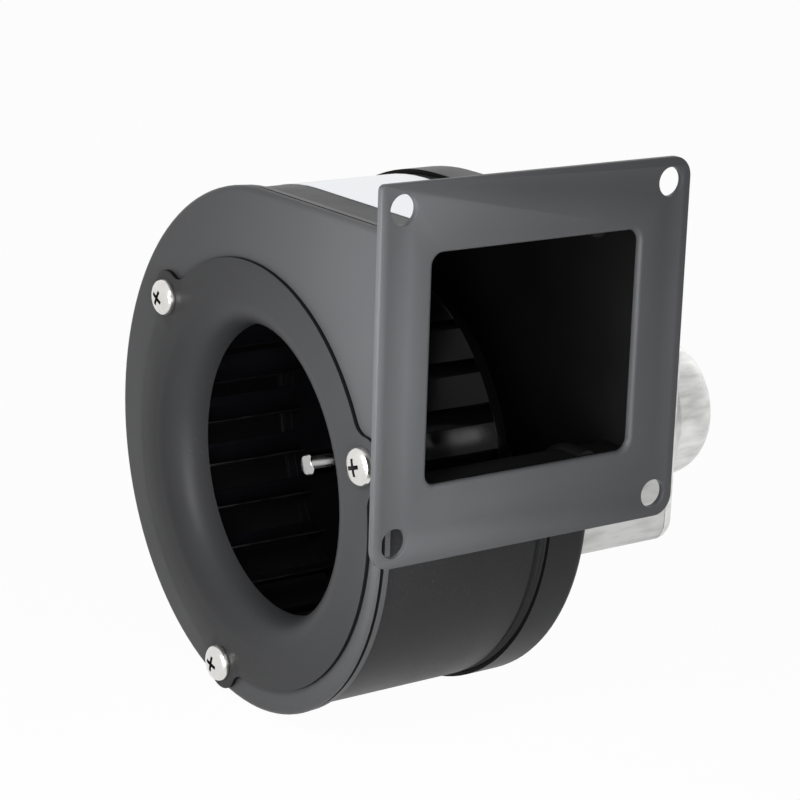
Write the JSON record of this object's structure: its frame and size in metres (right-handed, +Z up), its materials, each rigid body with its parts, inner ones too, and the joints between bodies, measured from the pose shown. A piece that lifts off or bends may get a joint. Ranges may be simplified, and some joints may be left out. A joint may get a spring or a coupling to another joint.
{
  "type": "centrifugal blower",
  "caption": "Single-inlet centrifugal blower: sheet-metal snail housing, bolted outlet flange, screwed inlet ring, forward-curved wheel and a motor behind.",
  "frame": {"origin": "centre of the four outlet bolt holes, on the front face of the outlet flange", "axes": "air leaves along -Y, the fan axis is along X with the inlet at -X and the motor at +X, +Z is up with the outlet above the fan axis"},
  "size_m": [0.1517, 0.1408, 0.1499],
  "materials": {
    "housing_black": "satin black powder coat",
    "wheel_black": "gloss black paint",
    "bright_screws": "bright nickel plate",
    "motor_casting": "smooth cast",
    "shaft_steel": "ground",
    "bearing_steel": "polished",
    "core_steel": "laminated",
    "hub_metal": "turned",
    "winding_wire": "varnished copper wire",
    "insulator": "moulded",
    "grommet_rubber": "moulded"
  },
  "bodies": {
    "housing": {"front_cover": "housing_black", "scroll_wall": "housing_black", "back_cover": "housing_black", "outlet_flange": "housing_black", "inlet_ring": "housing_black", "inlet_ring_screws": "bright_screws", "inlet_ring_nuts": "bright_screws", "motor_front_bracket": "motor_casting", "motor_shell": "motor_casting", "motor_rear_bell": "motor_casting", "motor_mount_screws": "bright_screws", "motor_through_screws": "bright_screws", "stator_core": "core_steel", "stator_windings": "winding_wire", "stator_insulators": "insulator", "front_bearing_outer_ring": "bearing_steel", "front_bearing_shields": "bearing_steel", "rear_bearing_outer_ring": "bearing_steel", "rear_bearing_shields": "bearing_steel", "preload_washer": "shaft_steel", "lead_grommet": "grommet_rubber"},
    "rotor": {"motor_shaft": "shaft_steel", "rotor_core": "core_steel", "rotor_end_rings": "motor_casting", "front_bearing_inner_ring": "bearing_steel", "rear_bearing_inner_ring": "bearing_steel", "shaft_circlips": "shaft_steel", "impeller_hub": "hub_metal", "impeller_back_disc": "wheel_black", "impeller_blades": "wheel_black", "impeller_front_ring": "wheel_black", "hub_rivets": "hub_metal", "hub_set_screw": "shaft_steel"},
    "front_ball_set": {"front_bearing_balls": "bearing_steel", "front_bearing_cage": "insulator"},
    "rear_ball_set": {"rear_bearing_balls": "bearing_steel", "rear_bearing_cage": "insulator"}
  },
  "joints": [
    {"name": "rotor_spin", "type": "hinge", "parent": "housing", "child": "rotor", "pos_m": [-0.032, 0.07302, -0.04321], "axis": [1, 0, 0], "continuous": true},
    {"name": "front_ball_orbit", "type": "hinge", "parent": "housing", "child": "front_ball_set", "pos_m": [-0.032, 0.07302, -0.04321], "axis": [1, 0, 0], "continuous": true},
    {"name": "rear_ball_orbit", "type": "hinge", "parent": "housing", "child": "rear_ball_set", "pos_m": [-0.032, 0.07302, -0.04321], "axis": [1, 0, 0], "continuous": true}
  ],
  "couplings": [
    {"joint": "front_ball_orbit", "follows": "rotor_spin", "ratio": 0.36},
    {"joint": "rear_ball_orbit", "follows": "rotor_spin", "ratio": 0.36}
  ]
}
